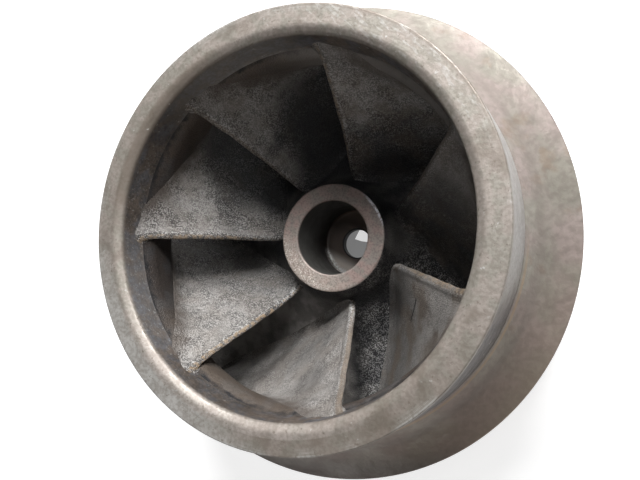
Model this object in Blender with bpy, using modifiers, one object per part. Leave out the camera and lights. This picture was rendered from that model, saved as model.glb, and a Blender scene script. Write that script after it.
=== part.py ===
"""A closed mixed-flow pump impeller of cast iron: eye ring, shrouds, hub, shaft boss and seven vanes.

The real one is a single casting. Here each of its named parts is a solid of its own, a hair's
breadth from its neighbours. It lies on its back boss: the shaft's axis is +Z, the eye faces up, and
the origin is the middle of the back boss's end face. Lengths are in metres, and angles in degrees.
"""

import functools
import math

import bpy
import numpy as np

# Overall
HEIGHT = 0.106
SEGMENTS = 56
CURVE_STEPS = 8
RING_CURVE_STEPS = 3
SHROUD_CURVE_STEPS = 4
NEARBY_SHARE = 0.01
HALVINGS = 40
PIECE_GAP = 0.0003

# Eye ring and front shroud: depths are measured down from the ring's flat face
RING_FACE_OUTER_R = 0.0750
RING_FACE_INNER_R = 0.0674
RING_EDGE = 0.0004
RING_BEVEL_DEPTH = 0.0016
EYE_R = 0.0648
EYE_BORE_DEPTH = 0.0123
CAST_EYE_R = 0.0630
CAST_EYE_DEPTH = 0.0170
LAND_R = 0.0769
LAND_BOTTOM_DEPTH = 0.0310
WALL_TURN_DEPTH = 0.0330
WALL_BEND_R = 0.0720
WALL_BEND_DEPTH = 0.0470
FLARE_BEND_R = 0.0830
FLARE_BEND_DEPTH = 0.0410
FRONT_RIM_R = 0.0953
FRONT_RIM_INNER_R = 0.0949
FRONT_RIM_DEPTH = 0.0464
FRONT_RIM_WALL = 0.0037
RIM_JOINT_FLARE_SHARE = 0.50
RIM_JOINT_WALL_SHARE = 0.75
RIM_JOINT_HALF_SHARE = 0.005

# Hub nose and the recess for the impeller bolt
NOSE_DEPTH = 0.0530
NOSE_R = 0.0227
NOSE_EDGE = 0.0008
NECK_TOP_R = 0.0246
NECK_TOP_DEPTH = 0.0552
NECK_START_SHARE = 0.10
HUB_NECK_R = 0.0255
HUB_NECK_DEPTH = 0.0720
HUB_FILLET_R = 0.0450
HUB_FILLET_DEPTH = 0.0785
HUB_SEAT_R = 0.0340
RECESS_R = 0.0156
RECESS_BOTTOM_DEPTH = 0.0863
SEAT_STEP = 0.0015
EDGE_BREAK = 0.0005

# Back shroud, and the shaft boss with its web, bolt hole, bore and keyway
BACK_RIM_R = 0.0950
BACK_RIM_DEPTH = 0.0800
BACK_RIM_WALL = 0.0045
BACK_BEND_R = 0.0400
BACK_BEND_DEPTH = 0.0865
BOSS_R = 0.0260
BOSS_FILLET = 0.0010
BOSS_ROOT_DEPTH = 0.0930
BOSS_CHAMFER = 0.0010
WEB_BACK_DEPTH = 0.0900
BOLT_HOLE_R = 0.0067
SHAFT_BORE_R = 0.0135
KEYWAY_WIDTH = 0.008
KEYWAY_HEIGHT = 0.0033
CUTTER_OVERRUN = 0.001

# Vanes. The sand cores weren't set evenly, so each vane is turned a little from its place.
FIRST_VANE_ANGLE = 128.6
CORE_SHIFTS = (0, 1.4, 2.0, -0.6, -2.5, 0.3, -0.5)
VANE_THICKNESS = 0.0042
VANE_EDGE_THICKNESS = 0.0026
VANE_SWELL_SHARE = 0.12
VANE_TIP_R = 0.0942
VANE_GAP = 0.0005
SWEEP_TOP_R = 0.0648
SWEEP_TOP_DEPTH = 0.0050
SWEEP_TURN_DEPTH = 0.0300
SWEEP_BEND_R = 0.0760
SWEEP_BEND_DEPTH = 0.0420
WRAP_HUB = 60.0
WRAP_SHROUD = 61.0
WRAP_POWER_HUB = 1.5
WRAP_POWER_SHROUD = 0.8
WRAP_EASE_SHROUD = 0.06
SHROUD_EDGE_LEAD = 2.8
EDGE_HUB_SHARE = 0.159
EDGE_SHROUD_SHARE = 0.086
EDGE_BOW = 0.0033
EDGE_SKEW = 0.0026
ALONG_STEPS = 14
ACROSS_STEPS = 6
LIMIT_STEPS = 60

IRON = (0.16, 0.145, 0.13, 1.0)
IRON_ROUGHNESS = 0.6
IRON_METALLIC = 0.7


def level(depth):
    """Height above the back boss's end of a place this deep below the ring's face."""
    return HEIGHT - depth


def clear_scene():
    for obj in list(bpy.data.objects):
        bpy.data.objects.remove(obj)


def new_collection(name):
    made = bpy.data.collections.new(name)
    bpy.context.scene.collection.children.link(made)
    return made


def iron_material():
    material = bpy.data.materials.new("cast_iron")
    material.use_nodes = True
    shader = material.node_tree.nodes["Principled BSDF"]
    shader.inputs["Base Color"].default_value = IRON
    shader.inputs["Roughness"].default_value = IRON_ROUGHNESS
    shader.inputs["Metallic"].default_value = IRON_METALLIC
    return material


def bezier(points, share):
    """A point of the Bezier curve that these (radius, height) points steer."""
    points = np.array(points, float)
    while len(points) > 1:
        points = points[:-1] * (1 - share) + points[1:] * share
    return points[0]


def curve(points, steps=CURVE_STEPS, start=0.0, end=1.0):
    return [tuple(bezier(points, start + (end - start) * i / steps)) for i in range(steps + 1)]


def share_at_radius(line, radius):
    """Where along a line that runs outwards it comes to this radius."""
    low, high = 0.0, 1.0
    for _ in range(HALVINGS):
        middle = (low + high) / 2
        if bezier(line, middle)[0] < radius:
            low = middle
        else:
            high = middle
    return low


def share_at_height(line, height):
    """Where along a line that runs downwards it comes to this height."""
    low, high = 0.0, 1.0
    for _ in range(HALVINGS):
        middle = (low + high) / 2
        if bezier(line, middle)[1] > height:
            low = middle
        else:
            high = middle
    return low


def wall_line():
    """Steering points of the front shroud's cast inner wall, from below the turned bore to the rim."""
    return [
        (CAST_EYE_R, level(CAST_EYE_DEPTH)),
        (CAST_EYE_R, level(WALL_TURN_DEPTH)),
        (WALL_BEND_R, level(WALL_BEND_DEPTH)),
        (FRONT_RIM_INNER_R, level(FRONT_RIM_DEPTH + FRONT_RIM_WALL)),
    ]


def sweep_line():
    """Steering points of the line in the shroud's metal that the vanes are laid out to."""
    return [
        (SWEEP_TOP_R, level(SWEEP_TOP_DEPTH)),
        (SWEEP_TOP_R, level(SWEEP_TURN_DEPTH)),
        (SWEEP_BEND_R, level(SWEEP_BEND_DEPTH)),
        (FRONT_RIM_INNER_R, level(FRONT_RIM_DEPTH + FRONT_RIM_WALL)),
    ]


def hub_line():
    """Steering points of the hub's flow surface, from under the nose out to the back rim."""
    return [
        (NECK_TOP_R, level(NECK_TOP_DEPTH)),
        (HUB_NECK_R, level(HUB_NECK_DEPTH)),
        (HUB_FILLET_R, level(HUB_FILLET_DEPTH)),
        (BACK_RIM_R, level(BACK_RIM_DEPTH)),
    ]


def back_line():
    """Steering points of the back shroud's outer side, from the rim in to the boss."""
    return [
        (BACK_RIM_R, level(BACK_RIM_DEPTH + BACK_RIM_WALL)),
        (BACK_BEND_R, level(BACK_BEND_DEPTH)),
        (BOSS_R + BOSS_FILLET, level(BACK_BEND_DEPTH)),
        (BOSS_R, level(BOSS_ROOT_DEPTH)),
    ]


def eye_ring_profile():
    """Down the land, under the ring, and up the eye's wall to the bevel."""
    bottom = level(LAND_BOTTOM_DEPTH) + PIECE_GAP / 2
    outside = [
        (RING_FACE_INNER_R, level(0)),
        (RING_FACE_OUTER_R - RING_EDGE, level(0)),
        (RING_FACE_OUTER_R, level(RING_EDGE)),
        (LAND_R, bottom),
    ]
    inside = curve(wall_line(), RING_CURVE_STEPS, share_at_height(wall_line(), bottom), 0)
    bore = [(EYE_R, level(EYE_BORE_DEPTH)), (EYE_R, level(RING_BEVEL_DEPTH))]
    return outside + inside + bore


def flare_line():
    """Steering points of the front shroud's outer side, from the ring's land down to the rim."""
    return [
        (LAND_R, level(LAND_BOTTOM_DEPTH) - PIECE_GAP / 2),
        (FLARE_BEND_R, level(FLARE_BEND_DEPTH)),
        (FRONT_RIM_R, level(FRONT_RIM_DEPTH)),
    ]


def front_shroud_profile():
    """Down the flare's outer side to the rim's joint, and back up the inner wall."""
    top_share = share_at_height(wall_line(), level(LAND_BOTTOM_DEPTH) - PIECE_GAP / 2)
    joint_share = RIM_JOINT_WALL_SHARE - RIM_JOINT_HALF_SHARE
    outside = curve(flare_line(), SHROUD_CURVE_STEPS, 0, RIM_JOINT_FLARE_SHARE - RIM_JOINT_HALF_SHARE)
    return outside + curve(wall_line(), SHROUD_CURVE_STEPS, joint_share, top_share)


def front_rim_profile():
    """From the joint down to the rim's edge, and back up the inner wall."""
    joint_share = RIM_JOINT_WALL_SHARE + RIM_JOINT_HALF_SHARE
    outside = curve(flare_line(), SHROUD_CURVE_STEPS, RIM_JOINT_FLARE_SHARE + RIM_JOINT_HALF_SHARE, 1)
    return outside + curve(wall_line(), SHROUD_CURVE_STEPS, 1, joint_share)


def hub_profile():
    """Down the nose and the neck to the back shroud, then up the bolt's recess."""
    outer_r = HUB_SEAT_R - PIECE_GAP / 2
    bottom = level(RECESS_BOTTOM_DEPTH + SEAT_STEP) + PIECE_GAP
    nose = [
        (RECESS_R + EDGE_BREAK, level(NOSE_DEPTH)),
        (NOSE_R - NOSE_EDGE, level(NOSE_DEPTH)),
        (NOSE_R, level(NOSE_DEPTH + NOSE_EDGE)),
    ]
    neck = curve(hub_line(), CURVE_STEPS, NECK_START_SHARE, share_at_radius(hub_line(), outer_r))
    recess = [
        (outer_r, bottom),
        (RECESS_R, bottom),
        (RECESS_R, level(NOSE_DEPTH + EDGE_BREAK)),
    ]
    return nose + neck + recess


def shaft_boss_profile():
    """Under the hub: the seat of the bolt, the web with its hole, the boss and the shaft's bore."""
    outer_r = HUB_SEAT_R - PIECE_GAP / 2
    inward = [(-radius, height) for radius, height in back_line()]
    under = curve(back_line(), CURVE_STEPS, share_at_radius(inward, -outer_r), 1)
    seat_r = RECESS_R - PIECE_GAP
    top = [
        (BOLT_HOLE_R, level(RECESS_BOTTOM_DEPTH)),
        (seat_r, level(RECESS_BOTTOM_DEPTH)),
        (seat_r, level(RECESS_BOTTOM_DEPTH + SEAT_STEP)),
        (outer_r, level(RECESS_BOTTOM_DEPTH + SEAT_STEP)),
    ]
    boss = [
        (BOSS_R, BOSS_CHAMFER),
        (BOSS_R - BOSS_CHAMFER, 0),
        (SHAFT_BORE_R + EDGE_BREAK, 0),
        (SHAFT_BORE_R, EDGE_BREAK),
        (SHAFT_BORE_R, level(WEB_BACK_DEPTH)),
        (BOLT_HOLE_R, level(WEB_BACK_DEPTH)),
    ]
    return top + under + boss


def back_shroud_profile():
    """Out along the flow surface to the rim, and back in along the outer side."""
    inner_r = HUB_SEAT_R + PIECE_GAP / 2
    inward = [(-radius, height) for radius, height in back_line()]
    above = curve(hub_line(), CURVE_STEPS, share_at_radius(hub_line(), inner_r), 1)
    under = curve(back_line(), CURVE_STEPS, 0, share_at_radius(inward, -inner_r))
    return above + under


def turned(name, profile, collection, material):
    """Turns a closed (radius, height) outline about the Z axis."""
    mesh = bpy.data.meshes.new(name)
    points = [(radius, 0.0, height) for radius, height in profile]
    edges = [(i, (i + 1) % len(points)) for i in range(len(points))]
    mesh.from_pydata(points, edges, [])
    mesh.materials.append(material)
    obj = bpy.data.objects.new(name, mesh)
    collection.objects.link(obj)
    screw = obj.modifiers.new("turn", "SCREW")
    screw.axis = "Z"
    screw.angle = math.tau
    screw.steps = SEGMENTS
    screw.render_steps = SEGMENTS
    screw.use_merge_vertices = True
    screw.merge_threshold = 0.0001
    screw.use_normal_calculate = False
    return obj


def beside(line, share, offset):
    """A point this far along a flow surface, and this far from it: into the shroud, or up off the hub."""
    ahead = bezier(line, share + NEARBY_SHARE) - bezier(line, share - NEARBY_SHARE)
    across = np.array([-ahead[1], ahead[0]]) / np.hypot(*ahead)
    return bezier(line, share) + across * offset


def shroud_wrap(along):
    """Share of the whole sweep that the vane has made along the shroud, quick at first."""
    start = WRAP_EASE_SHROUD**WRAP_POWER_SHROUD
    end = (1 + WRAP_EASE_SHROUD) ** WRAP_POWER_SHROUD
    return ((along + WRAP_EASE_SHROUD) ** WRAP_POWER_SHROUD - start) / (end - start)


def vane_span(out, along):
    """Radius and height of a place on the vane, out from the hub towards the line it is laid out to."""
    hub_end = share_at_radius(hub_line(), VANE_TIP_R)
    sweep_end = share_at_radius(sweep_line(), VANE_TIP_R)
    hub_share = EDGE_HUB_SHARE + (hub_end - EDGE_HUB_SHARE) * along
    sweep_share = EDGE_SHROUD_SHARE + (sweep_end - EDGE_SHROUD_SHARE) * along
    at_hub = beside(hub_line(), hub_share, VANE_GAP)
    radius, height = at_hub * (1 - out) + bezier(sweep_line(), sweep_share) * out
    bow = (EDGE_BOW + EDGE_SKEW * (1 - 2 * out)) * 4 * out * (1 - out) * (1 - along)
    return radius, height - bow


@functools.lru_cache
def wall_limit():
    """Heights, rising, and radii of the line where the vanes end, a gap inside the shroud's wall."""
    shares = [i / LIMIT_STEPS for i in range(LIMIT_STEPS + 1)]
    line = [(CAST_EYE_R - VANE_GAP, level(EYE_BORE_DEPTH))]
    line += [tuple(beside(wall_line(), share, -VANE_GAP)) for share in shares]
    line.reverse()
    return [height for _, height in line], [radius for radius, _ in line]


@functools.lru_cache
def wall_share(along):
    """How far out along its span the vane comes to the shroud's wall."""
    low, high = 0.0, 1.0
    for _ in range(HALVINGS):
        middle = (low + high) / 2
        radius, height = vane_span(middle, along)
        if radius < np.interp(height, *wall_limit()):
            low = middle
        else:
            high = middle
    return low


def vane_middle(up, along):
    """Middle surface of the first vane: up runs hub to shroud, along runs leading edge to tip."""
    out = up * wall_share(along)
    radius, height = vane_span(out, along)
    turn_hub = WRAP_HUB * (1 - (1 - along) ** WRAP_POWER_HUB)
    turn_shroud = WRAP_SHROUD * shroud_wrap(along) - SHROUD_EDGE_LEAD
    turn = turn_hub * (1 - out) + turn_shroud * out
    angle = math.radians(FIRST_VANE_ANGLE - turn)
    return np.array([radius * math.cos(angle), radius * math.sin(angle), height])


def vane_half_thickness(along):
    """Half the vane's thickness, which swells from the leading edge to the full plate."""
    swell = min(1.0, along / VANE_SWELL_SHARE)
    start = VANE_EDGE_THICKNESS / VANE_THICKNESS
    return VANE_THICKNESS / 2 * (start + (1 - start) * swell)


def vane_offset(up, along):
    """From the middle surface to one side, along the flow surface, so that the ends keep their gap."""
    back, ahead = max(along - NEARBY_SHARE, 0), min(along + NEARBY_SHARE, 1)
    low, high = max(up - NEARBY_SHARE, 0), min(up + NEARBY_SHARE, 1)
    flow = vane_middle(up, ahead) - vane_middle(up, back)
    flow /= np.linalg.norm(flow)
    normal = np.cross(vane_middle(high, along) - vane_middle(low, along), flow)
    normal /= np.linalg.norm(normal)
    x, y, _ = vane_middle(up, along)
    around = np.array([-y, x, 0]) / math.hypot(x, y)
    side = around - flow * around.dot(flow)
    return side * vane_half_thickness(along) / abs(side.dot(normal))


def vane(name, collection, material):
    """The first vane, a lofted plate between the hub and the shroud."""
    points = []
    for side in (1, -1):
        for i in range(ACROSS_STEPS + 1):
            for j in range(ALONG_STEPS + 1):
                up, along = i / ACROSS_STEPS, j / ALONG_STEPS
                points.append(tuple(vane_middle(up, along) + side * vane_offset(up, along)))
    row = ALONG_STEPS + 1
    layer = row * (ACROSS_STEPS + 1)
    faces = []
    for i in range(ACROSS_STEPS):
        for j in range(ALONG_STEPS):
            corner = i * row + j
            quad = (corner, corner + row, corner + row + 1, corner + 1)
            faces.append(quad)
            faces.append(tuple(layer + c for c in reversed(quad)))
    rim = [j for j in range(row)]
    rim += [i * row + row - 1 for i in range(1, ACROSS_STEPS + 1)]
    rim += [ACROSS_STEPS * row + j for j in range(row - 2, -1, -1)]
    rim += [i * row for i in range(ACROSS_STEPS - 1, 0, -1)]
    for here, after in zip(rim, rim[1:] + rim[:1]):
        faces.append((here, after, layer + after, layer + here))
    mesh = bpy.data.meshes.new(name)
    mesh.from_pydata(points, [], faces)
    mesh.materials.append(material)
    obj = bpy.data.objects.new(name, mesh)
    collection.objects.link(obj)
    return obj


def keyway_cutter(collection):
    """The slot's cutter along the shaft bore, from below the boss's end to the web."""
    depth = level(WEB_BACK_DEPTH)
    bpy.ops.mesh.primitive_cube_add(size=1)
    obj = bpy.context.object
    obj.name = "keyway_cutter"
    obj.dimensions = (KEYWAY_HEIGHT * 2, KEYWAY_WIDTH, depth + CUTTER_OVERRUN)
    obj.location = (SHAFT_BORE_R, 0, (depth - CUTTER_OVERRUN) / 2)
    for owner in list(obj.users_collection):
        owner.objects.unlink(obj)
    collection.objects.link(obj)
    obj.hide_render = True
    obj.display_type = "WIRE"
    return obj


def cut(obj, cutter):
    modifier = obj.modifiers.new("cut", "BOOLEAN")
    modifier.operation = "DIFFERENCE"
    modifier.solver = "EXACT"
    modifier.object = cutter


def main():
    clear_scene()
    parts = new_collection("pump_impeller")
    cutters = new_collection("cutters")
    material = iron_material()
    turned("eye_ring", eye_ring_profile(), parts, material)
    turned("front_shroud", front_shroud_profile(), parts, material)
    turned("front_rim", front_rim_profile(), parts, material)
    turned("back_shroud", back_shroud_profile(), parts, material)
    turned("hub", hub_profile(), parts, material)
    boss = turned("shaft_boss", shaft_boss_profile(), parts, material)
    cut(boss, keyway_cutter(cutters))
    blades = [vane("vane_1", parts, material)]
    for k in range(1, len(CORE_SHIFTS)):
        blade = bpy.data.objects.new("vane_%d" % (k + 1), blades[0].data)
        parts.objects.link(blade)
        blades.append(blade)
    for k, blade in enumerate(blades):
        shift = math.radians(CORE_SHIFTS[k])
        blade.rotation_euler[2] = math.tau * k / len(blades) - shift


main()
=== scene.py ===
import functools
import inspect
import math
from types import SimpleNamespace

import bpy
import numpy as np
from mathutils import Matrix, Vector


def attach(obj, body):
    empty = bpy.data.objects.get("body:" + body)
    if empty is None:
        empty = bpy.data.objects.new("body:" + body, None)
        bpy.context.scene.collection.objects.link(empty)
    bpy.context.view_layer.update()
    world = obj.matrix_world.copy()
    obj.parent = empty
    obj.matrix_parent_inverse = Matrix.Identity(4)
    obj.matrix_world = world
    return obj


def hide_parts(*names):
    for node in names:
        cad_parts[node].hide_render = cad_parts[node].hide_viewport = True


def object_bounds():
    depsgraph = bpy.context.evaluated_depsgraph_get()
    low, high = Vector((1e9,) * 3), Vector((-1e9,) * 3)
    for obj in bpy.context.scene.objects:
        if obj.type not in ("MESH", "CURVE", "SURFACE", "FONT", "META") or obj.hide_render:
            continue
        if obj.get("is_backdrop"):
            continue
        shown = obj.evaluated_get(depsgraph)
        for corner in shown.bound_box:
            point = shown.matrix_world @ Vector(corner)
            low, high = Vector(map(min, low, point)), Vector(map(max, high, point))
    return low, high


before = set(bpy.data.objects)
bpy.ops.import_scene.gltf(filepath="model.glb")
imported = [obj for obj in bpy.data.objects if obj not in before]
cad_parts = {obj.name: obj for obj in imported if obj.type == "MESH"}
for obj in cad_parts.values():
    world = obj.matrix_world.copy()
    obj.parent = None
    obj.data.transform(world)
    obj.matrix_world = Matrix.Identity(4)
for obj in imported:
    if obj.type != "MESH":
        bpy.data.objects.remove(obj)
size_at_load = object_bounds()

# Overall shape of the turned walls, in metres. The rim and the height come from the frame, and depths start
# at the ring's flat face.
RIM_R, _, HEIGHT = (round(size, 6) for size in size_at_load[1])
RING_FACE_OUTER_R = 0.0750
RING_FACE_INNER_R = 0.0674
RING_EDGE_ROUND = 0.0006
RING_BEVEL_DEPTH = 0.0016
RING_BEVEL_ROUND = 0.0010
EYE_R = 0.0648
EYE_BORE_DEPTH = 0.0123
EYE_BORE_ROUND = 0.0012
CAST_EYE_ROUND = 0.0022
CREASE_SHIFT = 0.0006
LAND_R = 0.0769
LAND_BOTTOM_DEPTH = 0.0310
GROOVE_DEPTH = 0.0005
GROOVE_WIDTH = 0.0009
GROOVE_FLOOR_SHARES = (0.7, 0.2)
NOSE_DEPTH = 0.0530
NOSE_R = 0.0227
NOSE_ROUND = 0.0010
RECESS_R = 0.0156
RECESS_BOTTOM_DEPTH = 0.0863
RECESS_CORNER = 0.0012
RECESS_CHAMFER = 0.0003
BOSS_R = 0.0260
BOSS_ROOT_DEPTH = 0.0930
BOSS_CHAMFER = 0.0010
BOSS_SKIN_TOP_DEPTH = 0.0880
WEB_BACK_DEPTH = 0.0900
BOLT_HOLE_R = 0.0067
SHAFT_BORE_R = 0.0135
BORE_EDGE = 0.0005
KEYWAY_WIDTH = 0.008
KEYWAY_HEIGHT = 0.0033
KEYWAY_OVERCUT = 0.001
SHARP_ROUND = 0.0004
SKIN_OVERLAP = 0.0001
SKIN_INSET = 0.0001
RIM_LEAN = 0.0003

# Places on the walls, and the curves that such places steer, as radius and depth
FRONT_RIM_OUTER = (RIM_R - SKIN_INSET, 0.0464)
INNER_RIM_R = RIM_R - SKIN_INSET - RIM_LEAN
FRONT_RIM_INNER = (INNER_RIM_R, 0.0501)
BACK_RIM_UPPER = (INNER_RIM_R, 0.0800)
BACK_RIM_LOWER = (INNER_RIM_R, 0.0845)
WALL_CURVE = ((0.0630, 0.0170), (0.0630, 0.0330), (0.0720, 0.0470), FRONT_RIM_INNER)
WALL_END_SHARE = 0.99
FLARE_CURVE = ((LAND_R, LAND_BOTTOM_DEPTH), (0.0830, 0.0410), FRONT_RIM_OUTER)
FLARE_END_SHARE = 0.97
HUB_CURVE = ((0.0246, 0.0552), (0.0255, 0.0720), (0.0450, 0.0785), BACK_RIM_UPPER)
NECK_START_SHARE = 0.10
BACK_CURVE = (BACK_RIM_LOWER, (0.0400, 0.0865), (0.0270, 0.0865), (BOSS_R, BOSS_ROOT_DEPTH))

# Vanes, with their fillets against the hub and the front shroud. They are laid out between the hub's curve
# and the sweep's, which runs in the front shroud's metal.
FIRST_VANE_ANGLE = 128.6
CORE_SHIFTS = (0, 1.4, 2.0, -0.6, -2.5, 0.3, -0.5)
VANE_THICKNESS = 0.0042
VANE_EDGE_THICKNESS = 0.0032
VANE_SWELL_SHARE = 0.12
VANE_TIP_R = 0.0942
SWEEP_CURVE = ((0.0648, 0.0050), (0.0648, 0.0300), (0.0760, 0.0420), FRONT_RIM_INNER)
WRAP_HUB = 60.0
WRAP_SHROUD = 61.0
WRAP_POWER_HUB = 1.5
WRAP_POWER_SHROUD = 0.8
WRAP_EASE_SHROUD = 0.06
SHROUD_EDGE_LEAD = 2.8
EDGE_HUB_SHARE = 0.159
EDGE_SHROUD_SHARE = 0.086
EDGE_BOW = 0.0033
EDGE_SKEW = 0.0026
FILLET_SHROUD_UPPER = 0.0070
FILLET_SHROUD_UNDER = 0.0018
FILLET_HUB_UPPER = 0.0030
FILLET_HUB_UNDER = 0.0015
FILLET_GROWTH = 0.0080
VANE_SPAN = 0.030
SHROUD_ROWS_REACH = 0.0095
HUB_ROWS_REACH = 0.0045
EDGE_DROP = 0.035
EDGE_DROP_SHARE = 0.16
VANE_SINK = 0.00015

# How each vane looks, from vane_1 to vane_7
VANE_LOOKS = {
    "grit": (1.00, 1.10, 1.05, 0.75, 0.60, 0.60, 0.95),
    "ochre": (0.15, 0.75, 0.95, 0.15, 0.50, 0.05, 0.40),
    "edge_brown": (0.30, 0.10, 0.05, 0.90, 0.55, 0.30, 0.30),
    "tip_wear": (0.60, 0.80, 0.95, 0.90, 0.80, 0.05, 0.15),
    # How much more or less painted shade each vane gets further down and towards the hub
    "soot": (-0.85, -0.28, -0.45, -0.42, -0.46, 0.05, -0.48),
    # How strongly painted shadow blackens each vane at its lowest part
    "night": (1.00, 0.70, 0.15, 0.00, 0.00, 0.50, 0.80),
    "brown": (0.30, 0.25, 0.25, 0.30, 1.00, 0.40, 0.60),
}

# Places on the vanes darkened as painted shade, then places lightened as painted light: the middle, how far
# it reaches, and how much
SOOTY_SPOTS = (
    ((-0.0100, 0.0570, 0.0580), 0.022, 0.62),
    ((-0.0080, 0.0420, 0.0420), 0.024, 0.80),
    ((-0.0468, 0.0379, 0.0493), 0.020, 0.50),
    ((-0.0536, 0.0454, 0.0599), 0.014, 0.60),
    ((-0.0329, 0.0214, 0.0355), 0.014, 0.80),
    ((-0.0480, -0.0085, 0.0355), 0.013, 0.45),
    ((0.0215, 0.0288, 0.0386), 0.018, 0.76),
    ((0.0513, 0.0113, 0.0668), 0.015, 0.50),
    ((0.0227, -0.0261, 0.0374), 0.012, 0.60),
    ((-0.0030, -0.0564, 0.0687), 0.012, 0.35),
)
CLEAN_SPOTS = (
    ((-0.0214, 0.0302, 0.0540), 0.014, 0.50),
    ((-0.0290, 0.0550, 0.0861), 0.014, 0.30),
    ((-0.0570, 0.0311, 0.0748), 0.012, 0.80),
    ((-0.0350, 0.0049, 0.0492), 0.019, 0.45),
    ((-0.0420, -0.0430, 0.0855), 0.014, 0.35),
    ((-0.0450, -0.0530, 0.0340), 0.019, 0.75),
    ((0.0126, 0.0517, 0.0765), 0.016, 0.45),
    ((0.0443, 0.0423, 0.0555), 0.012, 0.30),
)
# The same for the hub: places darkened as painted shade, then one lightened as painted light
HUB_SOOTY_SPOTS = (
    ((0.0201, -0.0219, 0.0391), 0.010, 0.80),
    ((0.0109, -0.0249, 0.0422), 0.010, 0.80),
    ((-0.0075, -0.0227, 0.0498), 0.012, 0.90),
    ((-0.0006, 0.0370, 0.0346), 0.014, 0.80),
    ((-0.0340, -0.0431, 0.0293), 0.014, 0.40),
)
HUB_CLEAN_SPOTS = (((0.0261, 0.0008, 0.0442), 0.012, 0.30),)

# Mesh fineness
FRONT_TURN_STEPS = 400
HUB_TURN_STEPS = 280
BOSS_TURN_STEPS = 128
PROFILE_STEP = 0.0009
CURVE_SAMPLES = 160
CORNER_STEPS = 5
SIDE_STEPS = 120
NOSE_STEPS = 12
TIP_STEPS = 4
FILLET_ROWS = 14
MIDDLE_ROWS = 18

# Fineness of the vanes' lines, and how near two points or steps count as the same
ROW_SAMPLES = 400
AHEAD_SAMPLES = 40
LOOKUP_STEPS = 2000
HALVINGS = 40
NORMAL_STEP = 0.01
SAME_POINT = 1e-7
STEP_SLACK = 1e-6

# How far the vanes and the wall are followed past their ends, as shares of their length
TIP_OVERRUN = 1.3
SPAN_OVERRUN = 1.3
BEFORE_EDGE = 0.15
AHEAD_OF_EDGE = 0.12

# Unevenness of the cast skin: sizes and heights of its lumps
LUMPS = ((0.017, 0.00030), (0.007, 0.00016), (0.003, 0.00007))
NOISE_CELLS = 32
SEEDS_PER_LUMP = 10

# Where the skin is as cast: the radius or depth where that starts or ends, or where it starts and is full
CAST_OUTSIDE_R = 0.0662
CAST_OUTSIDE_DEPTHS = (0.032, 0.036)
CAST_OUTSIDE_SHARE = 0.35
CAST_EYE_DEPTHS = (0.0118, 0.0160)
CAST_PASSAGE_R = 0.090
CAST_PASSAGE_DEPTHS = (0.040, 0.052)
CAST_RIM_RADII = (0.0945, 0.0880)
CAST_NECK_INNER_R = 0.0200
CAST_NECK_OUTER_R = 0.0252
CAST_NECK_TOP_DEPTH = 0.050
CAST_NECK_DEPTHS = (0.0560, 0.0640)
CAST_BACK_DEPTH = 0.0850
CAST_BACK_R = 0.0300
CAST_BACK_SHARE = 0.25

# Colours, as linear red, green and blue
RING_GREEN_GREY = (0.285, 0.266, 0.232)
RING_PINK_GREY = (0.305, 0.270, 0.242)
RING_STAIN = (0.150, 0.122, 0.098)
RING_WORN = (0.450, 0.440, 0.420)
BEVEL_CLEAN = (0.440, 0.395, 0.365)
LAND_BARE = (0.510, 0.515, 0.530)
LAND_SHADE = (0.070, 0.066, 0.072)
BORE_BLUE = (0.138, 0.140, 0.155)
BORE_BROWN = (0.158, 0.128, 0.108)
BORE_DARK = (0.040, 0.036, 0.034)
OUTER_GREY = (0.256, 0.240, 0.204)
OUTER_PINK = (0.288, 0.240, 0.220)
OUTER_DARK = (0.185, 0.158, 0.138)
OUTER_RUST = (0.220, 0.155, 0.110)
WALL_BROWN = (0.085, 0.066, 0.054)
WALL_GREY = (0.098, 0.094, 0.094)
DEEP_GREY = (0.060, 0.058, 0.055)
DEEP_BLACK = (0.016, 0.016, 0.018)
SAND_LIGHT = (0.480, 0.470, 0.460)
VANE_LIGHT = (0.330, 0.312, 0.294)
VANE_CLEAN = (0.520, 0.490, 0.460)
VANE_BROWN = (0.150, 0.120, 0.094)
EDGE_OCHRE = (0.340, 0.245, 0.150)
TIP_LIGHT = (0.440, 0.440, 0.440)
NOSE_PINK = (0.310, 0.228, 0.208)
NOSE_GREY = (0.235, 0.208, 0.188)
NOSE_LIGHT = (0.460, 0.400, 0.350)
NOSE_SPARKLE = (0.800, 0.740, 0.680)
NOSE_DARK = (0.130, 0.100, 0.092)
NOSE_GLINT = (0.500, 0.510, 0.560)
RECESS_WALL = (0.085, 0.084, 0.078)
RECESS_BROWN = (0.128, 0.098, 0.084)
RECESS_UPPER = (0.420, 0.330, 0.280)
RECESS_FLOOR = (0.720, 0.650, 0.590)
RECESS_BRIGHT = (0.900, 0.880, 0.860)
FLOOR_GREY = 0.5
BORE_FLOOR_GREY = 0.05
LIT_PATCH_GREY = 0.4

# Sizes in the materials and the stage
TOOL_MARK_SIZE = 0.0007
TOOL_MARK_DETAIL = 2
SAND_SIZE = 0.00055
SAND_DETAIL = 2
SAND_CLUMP_SIZE = 0.0019
SAND_CLUMP_DETAIL = 3
SAND_CLUMP_SHARE = 0.25
STREAK_LENGTH = 5
STREAK_DETAIL = 3
RIDGE_R = 0.0838
OCHRE_LINE_R = 0.0779
SPOT_FADE = 3
SCRATCH_WIDTH = 0.0006
SCRATCH = ((0.03620, -0.02534, 0.05749), (0.03472, -0.02924, 0.05462), (0.03264, -0.03367, 0.05103))
FLOOR_HALF_SIZE = 2.0
FLOOR_GLOW = 0.75
FLOOR_ROUGHNESS = 0.9
BORE_FLOOR_GLOW = 0.17
BORE_FLOOR_R = 0.0134
BORE_FLOOR_SIDES = 32
BORE_FLOOR_HEIGHT = 0.0002
LIT_PATCH = ((-0.0076, 0.0040), (-0.0040, 0.0028), (-0.0001, 0.0022), (-0.0001, 0.0088), (-0.0050, 0.0088))
LIT_PATCH_GLOW = 0.65

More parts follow.
